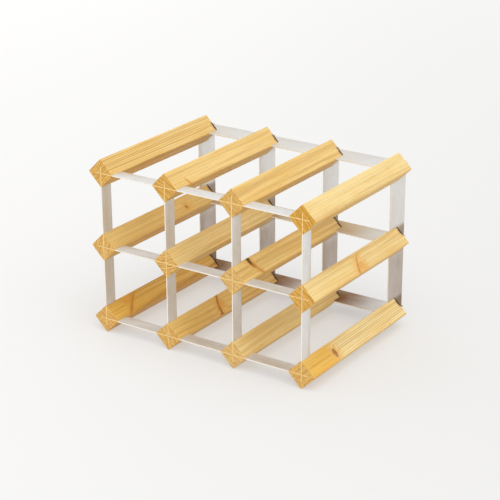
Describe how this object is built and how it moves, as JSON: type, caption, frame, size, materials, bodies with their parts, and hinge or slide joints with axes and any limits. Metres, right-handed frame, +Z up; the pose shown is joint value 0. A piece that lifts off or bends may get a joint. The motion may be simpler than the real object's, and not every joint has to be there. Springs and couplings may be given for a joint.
{
  "type": "wine rack",
  "caption": "Free-standing wine rack: square pine bars laid corner-up from front to rear, joined by half-lapped flat galvanised steel uprights and rails into open bottle cells.",
  "frame": {"origin": "on the floor, in the middle of the footprint, which includes the steel that stands out behind the bars", "axes": "+X to the right seen from the front, along the rails; +Y from front to rear, along the bars; +Z up"},
  "size_m": [0.324, 0.238, 0.228],
  "materials": {
    "pine": "satin clear-finished pine, straight grain with a few knots",
    "galvanised_steel": "satin galvanised sheet steel with sheared edges"
  },
  "bodies": {
    "root": {"bottom_bar_1": "pine", "bottom_bar_2": "pine", "bottom_bar_3": "pine", "bottom_bar_4": "pine", "middle_bar_1": "pine", "middle_bar_2": "pine", "middle_bar_3": "pine", "middle_bar_4": "pine", "top_bar_1": "pine", "top_bar_2": "pine", "top_bar_3": "pine", "top_bar_4": "pine", "front_upright_1": "galvanised_steel", "front_upright_2": "galvanised_steel", "front_upright_3": "galvanised_steel", "front_upright_4": "galvanised_steel", "front_rail_bottom": "galvanised_steel", "front_rail_middle": "galvanised_steel", "front_rail_top": "galvanised_steel", "rear_upright_1": "galvanised_steel", "rear_upright_2": "galvanised_steel", "rear_upright_3": "galvanised_steel", "rear_upright_4": "galvanised_steel", "rear_rail_bottom": "galvanised_steel", "rear_rail_middle": "galvanised_steel", "rear_rail_top": "galvanised_steel"}
  },
  "joints": []
}
